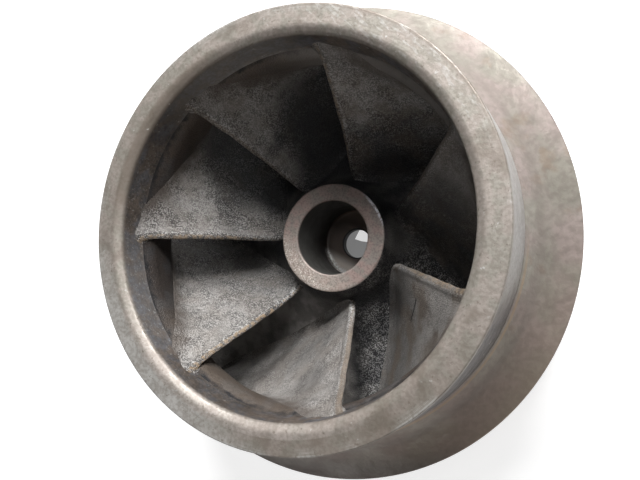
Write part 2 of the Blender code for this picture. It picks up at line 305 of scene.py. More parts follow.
# Round soft lights: the turn and the tilt of their direction, their distance, size, energy and colour
LIGHTS = {
    "near_key": (62, 51, 0.45, 0.13, 2.2, (1, 1, 1)),
    "window": (88, 51, 1.5, 0.42, 25.0, (1, 1, 1)),
    "ceiling": (55, 18, 1.5, 0.30, 2.4, (1, 1, 1)),
    "low_fill": (250, 72, 1.5, 0.75, 2.8, (1, 1, 1)),
    "far_fill": (300, 68, 1.5, 0.80, 1.2, (1, 0.88, 0.78)),
}
LIGHTS_AIM = (0, 0, 0.06)
ROOM_LIGHT = 0.03

# Camera, solved from the circles of the photo
CAMERA_PLACE = (0.08401, -0.02208, 0.27038)
CAMERA_RIGHT = (0.924991, 0.0, -0.379988)
CAMERA_UP = (0.034089, 0.995968, 0.082981)
CAMERA_BACK = (0.378457, -0.089710, 0.921262)
CAMERA_LENS = 31.5
CAMERA_CLIP = 0.01


# Lines and outlines


def at(*places):
    """Places given as radius and depth, as radius and height above the back boss's end."""
    return [(radius, HEIGHT - depth) for radius, depth in places]


def bezier(points, shares):
    """Points of the Bezier curve that these points steer, one for each share."""
    shares = np.atleast_1d(shares)[:, None]
    layer = [np.array(point, float)[None, :] for point in points]
    while len(layer) > 1:
        layer = [a * (1 - shares) + b * shares for a, b in zip(layer, layer[1:])]
    return layer[0]


def whole(curve, start=0.0, end=1.0):
    return bezier(at(*curve), np.linspace(start, end, CURVE_SAMPLES))


def rounded(before, corner, after, radius):
    """A corner eased by a curve that starts and ends this far from it."""
    before, corner, after = (np.array(p, float) for p in (before, corner, after))
    start = corner + (before - corner) / np.linalg.norm(before - corner) * radius
    end = corner + (after - corner) / np.linalg.norm(after - corner) * radius
    return bezier([start, corner, end], np.linspace(0, 1, CORNER_STEPS + 1))


def outline(pieces):
    """Joins points and curves into one outline whose points are at most PROFILE_STEP apart."""
    points = np.vstack([np.atleast_2d(np.array(piece, float)) for piece in pieces])
    far = np.ones(len(points), bool)
    far[1:] = np.linalg.norm(np.diff(points, axis=0), axis=1) > SAME_POINT
    points = points[far]
    kept = [points[0]]
    for point in points[1:]:
        gap = np.linalg.norm(point - kept[-1])
        steps = max(1, math.ceil(gap / PROFILE_STEP - STEP_SLACK))
        start = kept[-1]
        for i in range(1, steps + 1):
            kept.append(start + (point - start) * i / steps)
    return np.array(kept)


def thinned(points):
    """Leaves out points of a fine curve that are nearer than PROFILE_STEP to the last one kept."""
    kept = [points[0]]
    for point in points[1:-1]:
        if np.linalg.norm(point - kept[-1]) >= PROFILE_STEP:
            kept.append(point)
    kept.append(points[-1])
    return np.array(kept)


def inner_wall():
    """From the rim up the cast wall and the turned bore to the bevel's foot."""
    wall = thinned(whole(WALL_CURVE, WALL_END_SHARE, 0))
    eye_top, bore_foot = at((EYE_R, RING_BEVEL_DEPTH), (EYE_R, EYE_BORE_DEPTH))
    below = np.linalg.norm(wall - wall[-1], axis=1) > CAST_EYE_ROUND
    return outline([
        wall[below],
        rounded(wall[-2], wall[-1], bore_foot, CAST_EYE_ROUND),
        rounded(wall[-1], bore_foot, eye_top, EYE_BORE_ROUND),
    ])


def front_outline():
    """From the ring's face down the land and the flare, round the rim and up the inner wall."""
    middle, face_in, face_out, eye_top, land_foot, rim_out, rim_in = at(
        ((RING_FACE_INNER_R + RING_FACE_OUTER_R) / 2, 0),
        (RING_FACE_INNER_R, 0),
        (RING_FACE_OUTER_R, 0),
        (EYE_R, RING_BEVEL_DEPTH),
        (LAND_R, LAND_BOTTOM_DEPTH - GROOVE_WIDTH),
        FRONT_RIM_OUTER,
        FRONT_RIM_INNER,
    )
    groove_depths = [LAND_BOTTOM_DEPTH - GROOVE_WIDTH * share for share in GROOVE_FLOOR_SHARES]
    flare = thinned(whole(FLARE_CURVE, 0, FLARE_END_SHARE))
    wall = inner_wall()
    return outline([
        middle,
        rounded(middle, face_out, land_foot, RING_EDGE_ROUND),
        land_foot,
        at(*[(LAND_R - GROOVE_DEPTH, depth) for depth in groove_depths]),
        flare,
        rounded(flare[-1], rim_out, rim_in, RING_EDGE_ROUND),
        rounded(rim_out, rim_in, wall[0], SHARP_ROUND),
        wall,
        rounded(wall[-1], eye_top, face_in, RING_BEVEL_ROUND),
        rounded(eye_top, face_in, middle, RING_BEVEL_ROUND),
        middle,
    ])


def hub_outline():
    """From the bolt's hole up the recess, over the nose, out to the back rim and in to the boss."""
    hole_foot, hole_top, recess_foot, recess_top, chamfer_top, nose_corner, boss_top = at(
        (BOLT_HOLE_R, WEB_BACK_DEPTH),
        (BOLT_HOLE_R, RECESS_BOTTOM_DEPTH),
        (RECESS_R, RECESS_BOTTOM_DEPTH),
        (RECESS_R, NOSE_DEPTH + RECESS_CHAMFER),
        (RECESS_R + RECESS_CHAMFER, NOSE_DEPTH),
        (NOSE_R, NOSE_DEPTH),
        (BOSS_R, BOSS_ROOT_DEPTH + PROFILE_STEP),
    )
    hub = thinned(whole(HUB_CURVE, NECK_START_SHARE))
    back = thinned(whole(BACK_CURVE))
    return outline([
        hole_foot,
        rounded(hole_foot, hole_top, recess_foot, SHARP_ROUND),
        rounded(hole_top, recess_foot, recess_top, RECESS_CORNER),
        recess_top,
        chamfer_top,
        rounded(chamfer_top, nose_corner, hub[1], NOSE_ROUND),
        hub[1:],
        rounded(hub[-2], hub[-1], back[0], SHARP_ROUND),
        rounded(hub[-1], back[0], back[1], SHARP_ROUND),
        back[1:],
        boss_top,
    ])


def boss_outline():
    """The shaft's boss and bore: a closed outline whose top lies inside the hub."""
    hole_r = BOLT_HOLE_R + SKIN_OVERLAP
    boss_r = BOSS_R - SKIN_OVERLAP
    return np.array(at(
        (hole_r, BOSS_SKIN_TOP_DEPTH),
        (hole_r, WEB_BACK_DEPTH),
        (SHAFT_BORE_R, WEB_BACK_DEPTH),
        (SHAFT_BORE_R, HEIGHT - BORE_EDGE),
        (SHAFT_BORE_R + BORE_EDGE, HEIGHT),
        (boss_r - BOSS_CHAMFER, HEIGHT),
        (boss_r, HEIGHT - BOSS_CHAMFER),
        (boss_r, BOSS_SKIN_TOP_DEPTH),
    ))


# Unevenness of the cast skin


def smooth_noise(points, size, seed):
    """Smooth values between -1 and 1 at these points, with lumps about this size."""
    table = np.random.RandomState(seed).uniform(-1, 1, (NOISE_CELLS,) * 3)
    scaled = points / size
    cell = np.floor(scaled).astype(int)
    share = scaled - cell
    share = share * share * (3 - 2 * share)
    total = np.zeros(len(points))
    for corner in range(8):
        step = np.array([(corner >> axis) & 1 for axis in range(3)])
        weight = np.prod(np.where(step, share, 1 - share), axis=1)
        index = (cell + step) % NOISE_CELLS
        total += weight * table[index[:, 0], index[:, 1], index[:, 2]]
    return total


def ease(value, low, high):
    share = np.clip((value - low) / (high - low), 0, 1)
    return share * share * (3 - 2 * share)


def cast_share(points):
    """1 on the walls left as cast, and 0 on the turned ring, the rims and the turned nose."""
    radius = np.hypot(points[:, 0], points[:, 1])
    depth = HEIGHT - points[:, 2]
    outside = CAST_OUTSIDE_SHARE * ease(depth, *CAST_OUTSIDE_DEPTHS)
    passage = ease(depth, *CAST_PASSAGE_DEPTHS) * (radius < CAST_PASSAGE_R)
    share = np.where(radius > CAST_OUTSIDE_R, np.maximum(outside, passage), ease(depth, *CAST_EYE_DEPTHS))
    share = share * ease(radius, *CAST_RIM_RADII)
    neck = (radius < CAST_NECK_OUTER_R) & (depth > CAST_NECK_TOP_DEPTH)
    share = np.where(neck, ease(depth, *CAST_NECK_DEPTHS) * (radius > CAST_NECK_INNER_R), share)
    return np.where(depth > CAST_BACK_DEPTH, CAST_BACK_SHARE * (radius > CAST_BACK_R), share)


def roughened(points):
    """Moves points as the sand mould's unevenness would, the same for every wall that meets there."""
    moved = points.copy()
    share = cast_share(points)
    for octave, (size, height) in enumerate(LUMPS):
        for axis in range(3):
            moved[:, axis] += share * height * smooth_noise(points, size, SEEDS_PER_LUMP * octave + axis)
    return moved


# Meshes


def new_object(name, data):
    obj = bpy.data.objects.new(name, data)
    bpy.context.scene.collection.objects.link(obj)
    return obj


def new_mesh(name, points, faces, materials=()):
    mesh = bpy.data.meshes.new(name)
    mesh.from_pydata(points, [], faces)
    for material in materials:
        mesh.materials.append(material)
    return mesh


def new_skin(name, points, faces, materials, replaced, slots=None, smooth=True):
    mesh = new_mesh(name, points.tolist(), faces, materials)
    mesh.polygons.foreach_set("use_smooth", [smooth] * len(mesh.polygons))
    if slots is not None:
        mesh.polygons.foreach_set("material_index", slots)
    obj = new_object(name, mesh)
    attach(obj, "root")
    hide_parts(*replaced)
    return obj


def turned_points(profile, steps):
    angles = np.arange(steps) * math.tau / steps
    x = np.outer(profile[:, 0], np.cos(angles))
    y = np.outer(profile[:, 0], np.sin(angles))
    z = np.outer(profile[:, 1], np.ones(steps))
    return np.stack([x, y, z], axis=2).reshape(-1, 3)


def ring_faces(rows, around, closed_rows=False):
    """Quads between neighbouring rows, each row a closed ring of points."""
    faces = []
    last = rows if closed_rows else rows - 1
    for i in range(last):
        here, after = i * around, (i + 1) % rows * around
        for j in range(around):
            k = (j + 1) % around
            faces.append((here + j, here + k, after + k, after + j))
    return faces


def turned(name, profile, steps, materials, slot_of, replaced):
    """A skin turned from an outline, each of its bands in the material that slot_of gives."""
    points = roughened(turned_points(profile, steps))
    middles = (profile[:-1] + profile[1:]) / 2
    outermost = int(np.argmax(profile[:, 0]))
    slots = np.repeat([slot_of(r, HEIGHT - z, i < outermost) for i, (r, z) in enumerate(middles)], steps)
    return new_skin(name, points, ring_faces(len(profile), steps), materials, replaced, slots)


def front_slot(_, depth, before_rim):
    """0 for the turned ring, 1 for the outside as cast, and 2 for the inner wall."""
    if before_rim:
        return 0 if depth < LAND_BOTTOM_DEPTH else 1
    return 0 if depth < EYE_BORE_DEPTH + CREASE_SHIFT else 2


def hub_slot(radius, depth, before_rim):
    """0 for the turned nose and its recess, 1 for the hub's flow surface, and 2 for the back."""
    if not before_rim:
        return 2
    return 0 if radius < NOSE_R and depth < NOSE_DEPTH + NOSE_ROUND or radius < RECESS_R + SHARP_ROUND else 1


def keyway_cutter():
    """A block that takes the keyway out of the boss."""
    far = (0, SHAFT_BORE_R + KEYWAY_HEIGHT)
    wide = (-KEYWAY_WIDTH / 2, KEYWAY_WIDTH / 2)
    high = (-KEYWAY_OVERCUT, HEIGHT - WEB_BACK_DEPTH)
    corners = [(x, y, z) for x in far for y in wide for z in high]
    sides = [(0, 1, 3, 2), (4, 6, 7, 5), (0, 4, 5, 1), (2, 3, 7, 6), (0, 2, 6, 4), (1, 5, 7, 3)]
    return new_object("keyway_cutter", new_mesh("keyway_cutter", corners, sides))


def boss_skin(material):
    profile = boss_outline()
    points = turned_points(profile, BOSS_TURN_STEPS)
    faces = ring_faces(len(profile), BOSS_TURN_STEPS, closed_rows=True)
    obj = new_skin("boss_skin", points, faces, [material], ["shaft_boss"], smooth=False)
    cutter = keyway_cutter()
    cut = obj.modifiers.new("keyway", "BOOLEAN")
    cut.operation = "DIFFERENCE"
    cut.solver = "EXACT"
    cut.object = cutter
    graph = bpy.context.evaluated_depsgraph_get()
    made = bpy.data.meshes.new_from_object(obj.evaluated_get(graph))
    obj.modifiers.remove(cut)
    obj.data = made
    bpy.data.objects.remove(cutter)


# Vanes


def shares_along(curve, edge_share, along):
    """Shares of a curve for places along the vane, from its leading edge out to its tip's radius."""
    shares = np.linspace(0, 1, LOOKUP_STEPS)
    end_share = float(np.interp(VANE_TIP_R, bezier(curve, shares)[:, 0], shares))
    return edge_share + (end_share - edge_share) * along


def beside(curve, shares, offset):
    """Points along a curve, moved off it, with the curve's own normal there."""
    places = at(*curve)
    ahead = bezier(places, shares + NORMAL_STEP) - bezier(places, shares - NORMAL_STEP)
    normal = np.stack([-ahead[:, 1], ahead[:, 0]], axis=1) / np.linalg.norm(ahead, axis=1)[:, None]
    return bezier(places, shares) + normal * offset, normal


def on_span(at_hub, at_sweep, out, along):
    """Places this far out between hub and sweep, moved back as the bowed leading edge asks."""
    bow = (EDGE_BOW + EDGE_SKEW * (1 - 2 * out)) * 4 * out * (1 - out)
    places = at_hub * (1 - out)[:, None] + at_sweep * out[:, None]
    places[:, 1] -= bow * np.maximum(1 - along, 0)
    return places


def line_distance(points, corners):
    """Distance of each point from the straight lines that join these corners."""
    start, run = corners[None, :-1], np.diff(corners, axis=0)[None]
    apart = points[:, None] - start
    share = np.clip((apart * run).sum(axis=2) / (run * run).sum(axis=2), 0, 1)
    return np.linalg.norm(apart - run * share[:, :, None], axis=2).min(axis=1)


def vane_ends(along):
    """For each place along the vane: the hub, the hub's normal and the end of the span laid out."""
    at_hub, hub_normal = beside(HUB_CURVE, shares_along(HUB_CURVE, EDGE_HUB_SHARE, along), -VANE_SINK)
    sweep_share = shares_along(SWEEP_CURVE, EDGE_SHROUD_SHARE, along)
    return at_hub, hub_normal, bezier(at(*SWEEP_CURVE), sweep_share)


@functools.lru_cache
def wall_table():
    """The shroud's inner side from beyond the rim up past the bore."""
    return np.vstack([whole(WALL_CURVE, SPAN_OVERRUN, 1), inner_wall(), [[EYE_R, HEIGHT]]])


@functools.lru_cache
def wall_reach():
    """How far out along its span the vane comes to the shroud's wall, for places along it."""
    along = np.linspace(-BEFORE_EDGE, TIP_OVERRUN, ROW_SAMPLES)
    at_hub, _, at_sweep = vane_ends(along)
    wall = wall_table()
    low, high = np.zeros(len(along)), np.full(len(along), SPAN_OVERRUN)
    for _ in range(HALVINGS):
        middle = (low + high) / 2
        place = on_span(at_hub, at_sweep, middle, along)
        inside = place[:, 0] < np.interp(place[:, 1], wall[:, 1], wall[:, 0])
        low = np.where(inside, middle, low)
        high = np.where(inside, high, middle)
    return along, low


def vane_meridian(row, along):
    """Radius and height of a row of the vane, how far out it is, and its distance from hub and shroud."""
    share, offset = row
    at_hub, hub_normal, at_sweep = vane_ends(along)
    out = share * np.interp(along, *wall_reach()) + offset / np.linalg.norm(at_sweep - at_hub, axis=1)
    points = on_span(at_hub, at_sweep, out, along)
    from_hub = np.maximum(((points - at_hub) * hub_normal).sum(axis=1), 0)
    from_wall = line_distance(points, wall_table()) if share < 1 or offset < 0 else np.zeros(len(out))
    return points, out, from_hub, from_wall


def vane_angle(out, along):
    """Angle about the axis of the first vane's middle surface, in radians."""
    turn_hub = WRAP_HUB * (1 - np.maximum(1 - along, 0) ** WRAP_POWER_HUB)
    start = WRAP_EASE_SHROUD**WRAP_POWER_SHROUD
    end = (1 + WRAP_EASE_SHROUD) ** WRAP_POWER_SHROUD
    wrapped = ((along + WRAP_EASE_SHROUD) ** WRAP_POWER_SHROUD - start) / (end - start)
    turn_shroud = WRAP_SHROUD * wrapped - SHROUD_EDGE_LEAD
    return np.radians(FIRST_VANE_ANGLE - (turn_hub * (1 - out) + turn_shroud * out))


def half_thickness(along):
    start = VANE_EDGE_THICKNESS / VANE_THICKNESS
    return VANE_THICKNESS / 2 * (start + (1 - start) * np.clip(along / VANE_SWELL_SHARE, 0, 1))


def fillet(distance, radius):
    """How far a fillet of this radius stands out from a vane's side, this far from the wall."""
    inside = np.clip(radius - distance, 0, radius)
    return radius - np.sqrt(radius * radius - inside * inside)


def spread(values, count):
    """The same polyline with this many points at even steps."""
    steps = np.linalg.norm(np.diff(values, axis=0), axis=1)
    length = np.concatenate([[0], np.cumsum(steps)])
    even = np.linspace(0, length[-1], count)
    return np.stack([np.interp(even, length, column) for column in values.T], axis=1)


def row_start(row):
    """How far along its row the vane begins: its edge turns back where it comes down to the hub."""
    share, offset = row
    up = share + offset / VANE_SPAN
    return EDGE_DROP * max(0.0, 1 - up / EDGE_DROP_SHARE) ** 2


def middle_line(row):
    """The middle of a row of the vane: its places along and round the part, its direction and its sizes."""
    start = row_start(row)
    along = np.linspace(start, TIP_OVERRUN, ROW_SAMPLES)
    points, out, from_hub, from_wall = vane_meridian(row, along)
    before = np.linspace(start - AHEAD_OF_EDGE, start, AHEAD_SAMPLES)[:-1]
    meridian = np.vstack([vane_meridian(row, before)[0], points])
    length = np.concatenate([[0], np.cumsum(np.linalg.norm(np.diff(meridian, axis=0), axis=1))])
    length -= length[len(before)]
    here = length[len(before):]
    angle = vane_angle(out, along)
    flow_length, flow_around = np.gradient(here), points[:, 0] * np.gradient(angle)
    size = np.hypot(flow_length, flow_around)
    return SimpleNamespace(
        meridian=meridian,
        length=length,
        here=here,
        angle=angle,
        radius=points[:, 0],
        flow_length=flow_length / size,
        flow_around=flow_around / size,
        travelled=np.cumsum(size) - size[0],
        half=half_thickness(along),
        from_hub=from_hub,
        from_wall=from_wall,
    )


def side_line(middle, sign):
    """A row's upper side (-1) or under side (1): how far it stands out, and its (length, arc) points."""
    if sign < 0:
        grown = ease(middle.travelled, 0, FILLET_GROWTH)
        shroud_radius = FILLET_SHROUD_UNDER + (FILLET_SHROUD_UPPER - FILLET_SHROUD_UNDER) * grown
        hub_radius = FILLET_HUB_UNDER + (FILLET_HUB_UPPER - FILLET_HUB_UNDER) * grown
    else:
        shroud_radius, hub_radius = FILLET_SHROUD_UNDER, FILLET_HUB_UNDER
    out = middle.half + fillet(middle.from_wall, shroud_radius) + fillet(middle.from_hub, hub_radius)
    side_length = middle.here - sign * middle.flow_around * out
    side_angle = middle.angle + sign * middle.flow_length * out / middle.radius
    return out, np.stack([side_length, side_angle * middle.radius.mean()], axis=1)


def flat_side(middle, side):
    """A side from where the rounded nose ends to the vane's outer end, as evenly spaced points."""
    tip_length = float(np.interp(VANE_TIP_R, middle.radius, middle.here))
    kept = side[side[:, 0] < tip_length]
    end_angle = np.interp(tip_length, side[:, 0], side[:, 1])
    return spread(np.vstack([kept, [tip_length, end_angle]]), SIDE_STEPS)


def nose_line(middle, first, upper_out, under_out):
    """The rounded leading edge of a row, from its upper side to its under side."""
    swing = np.linspace(-math.pi / 2, math.pi / 2, NOSE_STEPS + 2)[1:-1]
    blend = (np.sin(swing) + 1) / 2
    reach = upper_out * (1 - blend) + under_out * blend
    ahead = -np.cos(swing) * reach
    across = np.sin(swing) * reach
    flow_length, flow_around = middle.flow_length[first], middle.flow_around[first]
    nose_length = middle.here[first] + flow_length * ahead - flow_around * across
    nose_angle = (flow_around * ahead + flow_length * across) / middle.radius[first] + middle.angle[first]
    return np.stack([nose_length, nose_angle * middle.radius.mean()], axis=1)


def vane_row(row):
    """One closed ring of points round the first vane, and how far each is from its edge and the wall."""
    middle = middle_line(row)
    first = int(np.searchsorted(middle.travelled, middle.half[0]))
    upper_out, upper = side_line(middle, -1)
    under_out, under = side_line(middle, 1)
    upper_flat = flat_side(middle, upper[first:])
    under_flat = flat_side(middle, under[first:])
    nose = nose_line(middle, first, upper_out[first], under_out[first])
    shares = np.linspace(0, 1, TIP_STEPS + 2)[1:-1, None]
    tip = under_flat[-1] + (upper_flat[-1] - under_flat[-1]) * shares
    ring = np.vstack([upper_flat[::-1], nose, under_flat, tip])
    radius = np.interp(ring[:, 0], middle.length, middle.meridian[:, 0])
    height = np.interp(ring[:, 0], middle.length, middle.meridian[:, 1])
    angle = ring[:, 1] / middle.radius.mean()
    placed = np.stack([radius * np.cos(angle), radius * np.sin(angle), height], axis=1)
    edge = np.linalg.norm(ring - ring[SIDE_STEPS + NOSE_STEPS // 2], axis=1)
    return placed, edge, np.interp(ring[:, 0], middle.here, middle.from_wall)


def vane_rows():
    """Rows between hub and shroud, close together where the fillets turn.

    Each is a share of the way out, and a distance beyond that along the span.
    """
    turn = np.linspace(0, math.pi / 2, FILLET_ROWS)
    at_hub = [(0.0, HUB_ROWS_REACH * (1 - math.sin(t))) for t in turn[::-1]]
    at_shroud = [(1.0, -SHROUD_ROWS_REACH * (1 - math.sin(t))) for t in turn]
    shares = np.linspace(0, 1, MIDDLE_ROWS + 2)[1:-1]
    middle = [(s, HUB_ROWS_REACH * (1 - s) - SHROUD_ROWS_REACH * s) for s in shares]
    return at_hub + middle + at_shroud + [(1.0, VANE_SINK)]


def store(obj, name, values):
    attribute = obj.data.attributes.new(name, "FLOAT", "POINT")
    attribute.data.foreach_set("value", values.astype(np.float32))


def vane_skins(material):
    made = list(zip(*[vane_row(row) for row in vane_rows()]))
    base, edge, wall = (np.concatenate(values) for values in made)
    rows = made[0]
    corner = rows[FILLET_ROWS][SIDE_STEPS + NOSE_STEPS // 2]
    tip = np.linalg.norm(base - corner, axis=1)
    faces = [face[::-1] for face in ring_faces(len(rows), len(rows[0]))]
    for k, shift in enumerate(CORE_SHIFTS):
        turn = math.tau * k / len(CORE_SHIFTS) - math.radians(shift)
        cos, sin = math.cos(turn), math.sin(turn)
        points = base.copy()
        points[:, 0] = base[:, 0] * cos - base[:, 1] * sin
        points[:, 1] = base[:, 0] * sin + base[:, 1] * cos
        name = "vane_%d" % (k + 1)
        obj = new_skin(name + "_skin", roughened(points), faces, [material], [name])
        for kind, values in {"edge": edge, "tip": tip, "wall": wall}.items():
            store(obj, kind + "_distance", values)
        for look, values in VANE_LOOKS.items():
            store(obj, look, np.full(len(points), values[k]))


# Shader building blocks


def new_material(name):
    material = bpy.data.materials.new(name)
    material.use_nodes = True
    return material


def is_socket(value):
    return isinstance(value, bpy.types.NodeSocket)


def feed(node, inputs):
    """Feeds a node's inputs, each from a socket or with a plain value."""
    for key, value in inputs.items():
        if is_socket(value):
            node.id_data.links.new(value, node.inputs[key])
        else:
            node.inputs[key].default_value = value


def put(kind, inputs, tree=None, **settings):
    """Adds a node to the tree of the sockets that feed it, feeds its inputs, and returns its outputs."""
    tree = tree or next(filter(is_socket, inputs.values())).id_data
    node = tree.nodes.new(kind)
    for name, value in settings.items():
        setattr(node, name, value)
    feed(node, inputs)
    return node.outputs


def calc(operation, *values):
    return put("ShaderNodeMath", dict(enumerate(values)), operation=operation)[0]


def vector_calc(operation, first, second, output=0):
    return put("ShaderNodeVectorMath", {0: first, 1: second}, operation=operation)[output]


def band(value, low, high):
    """0 up to low and 1 from high on, or the other way round if low is the larger."""
    inputs = {"Value": value, "From Min": low, "From Max": high}
    return put("ShaderNodeMapRange", inputs, interpolation_type="SMOOTHSTEP")[0]


def mix(name, share, first, second):
    """Two colours mixed, each a socket or a plain (red, green, blue), in a node with this label."""
    # The node's inputs 6 and 7 and its output 2 are the ones for colours
    ends = [colour if is_socket(colour) else (*colour, 1) for colour in (first, second)]
    return put("ShaderNodeMix", {0: share, 6: ends[0], 7: ends[1]}, data_type="RGBA", label=name)[2]


def summed(fields, base, weights):
    """A plain number plus the named fields, each times its weight."""
    total = base
    for name, weight in weights.items():
        total = calc("MULTIPLY_ADD", fields[name], weight, total)
    return total


# What a mask can measure. The fields are a material's sockets by name, with the place on the part among them.


def noise(fields, size, detail):
    """Noise with lumps about this size, in metres."""
    return put("ShaderNodeTexNoise", {"Vector": fields["place"], "Scale": 1 / size, "Detail": detail})[0]


def streaks(fields, size, turn):
    """Noise drawn out into streaks that run in this direction across the part."""
    scale = (STREAK_LENGTH, 1, 1)
    inputs = {"Vector": fields["place"], "Rotation": (0, 0, math.radians(turn)), "Scale": scale}
    return noise({"place": put("ShaderNodeMapping", inputs, vector_type="TEXTURE")[0]}, size, STREAK_DETAIL)


def sand(fields):
    """The pattern that the mould's sand leaves, before it is cut into pits and grains."""
    fine = noise(fields, SAND_SIZE, SAND_DETAIL)
    clumps = noise(fields, SAND_CLUMP_SIZE, SAND_CLUMP_DETAIL)
    return calc("MULTIPLY_ADD", clumps, SAND_CLUMP_SHARE, calc("MULTIPLY", fine, 1 - SAND_CLUMP_SHARE))


def turning(fields):
    """Fine rings left by the lathe's tool."""
    along = calc("ADD", fields["radius"], fields["depth"])
    inputs = {"W": along, "Scale": 1 / TOOL_MARK_SIZE, "Detail": TOOL_MARK_DETAIL}
    return put("ShaderNodeTexNoise", inputs, noise_dimensions="1D")[0]


def toward(fields, turn):
    """Distance from the axis, measured in this direction."""
    way = (math.cos(math.radians(turn)), math.sin(math.radians(turn)), 0)
    return vector_calc("DOT_PRODUCT", fields["place"], way, "Value")


def spot(fields, middle):
    return vector_calc("DISTANCE", fields["place"], middle, "Value")


def line(fields, start, end):
    """Distance from the straight line between two places."""
    run = Vector(end) - Vector(start)
    apart = vector_calc("SUBTRACT", fields["place"], start)
    along = vector_calc("DOT_PRODUCT", apart, run / run.length_squared, "Value")
    share = put("ShaderNodeClamp", {"Value": along})[0]
    foot = put("ShaderNodeVectorMath", {0: run, "Scale": share}, operation="SCALE")[0]
    return vector_calc("DISTANCE", apart, foot, "Value")


def off(fields, name, middle):
    """How far a field is from this number, either way."""
    return calc("ABSOLUTE", calc("SUBTRACT", fields[name], middle))


def wavy(fields, name, size, detail, height):
    """A field with an unevenness of this height."""
    return calc("MULTIPLY_ADD", noise(fields, size, detail), height, fields[name])


def stored(fields, name):
    """A value that the mesh carries."""
    return put("ShaderNodeAttribute", {}, fields["place"].id_data, attribute_name=name)["Fac"]


def scaled(fields, mask, weight, base):
    return calc("MULTIPLY_ADD", masked(fields, mask), weight, base)


def joined(fields, operation, first, second):
    return calc(operation, masked(fields, first), masked(fields, second))


def layered(fields, colour, layers):
    """Mixes each layer's colour in, as far as its share and its masks let it through."""
    for name, tint, share, *masks in layers:
        for mask in masks:
            share = calc("MULTIPLY", masked(fields, mask), share)
        colour = mix(name, share, colour, fields.get(tint, tint))
    return colour


# The kinds of mask, each named after the function that measures it
MEASURES = (noise, streaks, sand, turning, toward, spot, line, off, wavy, stored, scaled, joined, layered)
KINDS = {measure.__name__: measure for measure in MEASURES}


def masked(fields, mask):
    """A mask's socket. A mask is a field's name, or a kind, its settings, and where it is 0 and 1."""
    if isinstance(mask, str):
        return fields[mask]
    kind, *numbers = mask
    if kind in KINDS:
        settings = len(inspect.signature(KINDS[kind]).parameters) - 1
        value = KINDS[kind](fields, *numbers[:settings])
        numbers = numbers[settings:]
    else:
        value = fields[kind]
    return band(value, *numbers) if numbers else value


def spots(name, colour, rows):
    """Layers of round spots, full near their middle and fading out to their reach."""
    return [(name, colour, share, ("spot", place, reach, reach / SPOT_FADE)) for place, reach, share in rows]


def iron(name, first, measured, layers):
    """A material from its first colour, the fields that it measures and its layers of colour."""
    material = new_material(name)
    place = put("ShaderNodeTexCoord", {}, material.node_tree)["Object"]
    flat = vector_calc("MULTIPLY", place, (1, 1, 0))
    radius = put("ShaderNodeVectorMath", {0: flat}, operation="LENGTH")["Value"]
    depth = calc("SUBTRACT", HEIGHT, put("ShaderNodeSeparateXYZ", {0: place})[2])
    fields = {"place": place, "radius": radius, "depth": depth}
    for field, mask in measured.items():
        fields[field] = masked(fields, mask)
    metallic, dull, dullness, height, strength, shape = SURFACES[name]
    bump = {"Height": summed(fields, 0, shape), "Distance": height, "Strength": strength}
    feed(material.node_tree.nodes["Principled BSDF"], {
        "Base Color": layered(fields, first, layers),
        "Metallic": metallic,
        "Roughness": summed(fields, dull, dullness),
        "Normal": put("ShaderNodeBump", bump)[0],
    })
    return material


# Materials
#
# A layer is a label, a colour or the field that has it, its share, and the masks that limit it. Each lies
# over the ones before it. In a mask, noise has its size and detail, streaks have their size and direction,
# and toward has a direction in degrees. The two numbers at a mask's end are where it is 0 and where it is 1.

# How each takes the light: how metallic it is, its roughness and what adds to it, and its relief's height in
# metres, strength and make-up
SURFACES = {
    "turned_iron": (0.35, 0.38, {"blotch": 0.14, "grit": 0.12}, 0.00014, 0.6, {"marks": 0.18, "grit": 0.82}),
    "outer_iron": (0.30, 0.46, {"blotch": 0.12}, 0.00018, 0.6,
                   {"fine": 0.4, "grit": 0.4, "ridge": -0.32, "waves": 9}),
    "cast_wall_iron": (0.30, 0.50, {"patch": 0.10}, 0.00018, 0.5, {"speckle": 1}),
    "hub_iron": (0.35, 0.45, {"patch": 0.10}, 0.00024, 0.8, {"speckle": 1}),
    "vane_iron": (0.30, 0.44, {"patch": 0.12, "speckle": 0.08}, 0.00024, 0.8, {"sand_relief": 1}),
    "nose_iron": (0.35, 0.36, {"blotch": 0.10, "grit": 0.10}, 0.00016, 0.7, {"marks": 0.25, "grit": 0.75}),
}

# Masks that materials share: one is weaker on the light's side, and one is the sand's pits and grains
SHADED_SIDE = ("scaled", ("toward", 50, 0.030, 0.060), -1, 1.3)
SAND_SPECKLE = ("sand", 0.40, 0.60)

# The turned bore under the ring: bluish and brownish blotches, a ragged foot darkened as painted shade, and
# sides lightened as painted light and darkened as painted shade
BORE_LAYERS = (
    ("brownish", BORE_BROWN, 1, ("noise", 0.0060, 5, 0.42, 0.60)),
    ("clouds", BORE_DARK, 0.40, ("noise", 0.0042, 5, 0.56, 0.42)),
    ("dark grit", BORE_DARK, 0.45, ("noise", 0.0012, 4, 0.52, 0.40)),
    # Painted shade along the step at the bore's foot, stronger on the side away from the light
    ("ragged foot", BORE_DARK, 0.75, ("ragged", 0.0135, 0.0158),
     ("scaled", ("noise", 0.0050, 3, 0.42, 0.58), 0.6, 0.3), SHADED_SIDE),
    ("specks", RING_WORN, 0.50, ("noise", 0.0009, 3, 0.58, 0.68), ("toward", 200, 0.030, 0.060)),
    # Painted light, lighter and bluish, on the lower left
    ("bluish side", LAND_BARE, 0.20, ("toward", 202, 0.0575, 0.0670)),
    # Painted shade towards the bottom
    ("dark side", BORE_DARK, 0.45, ("toward", 248, 0.0570, 0.0655)),
    # Painted light towards the top
    ("pale side", RING_WORN, 0.40, ("toward", 112, 0.0540, 0.0655)),
)
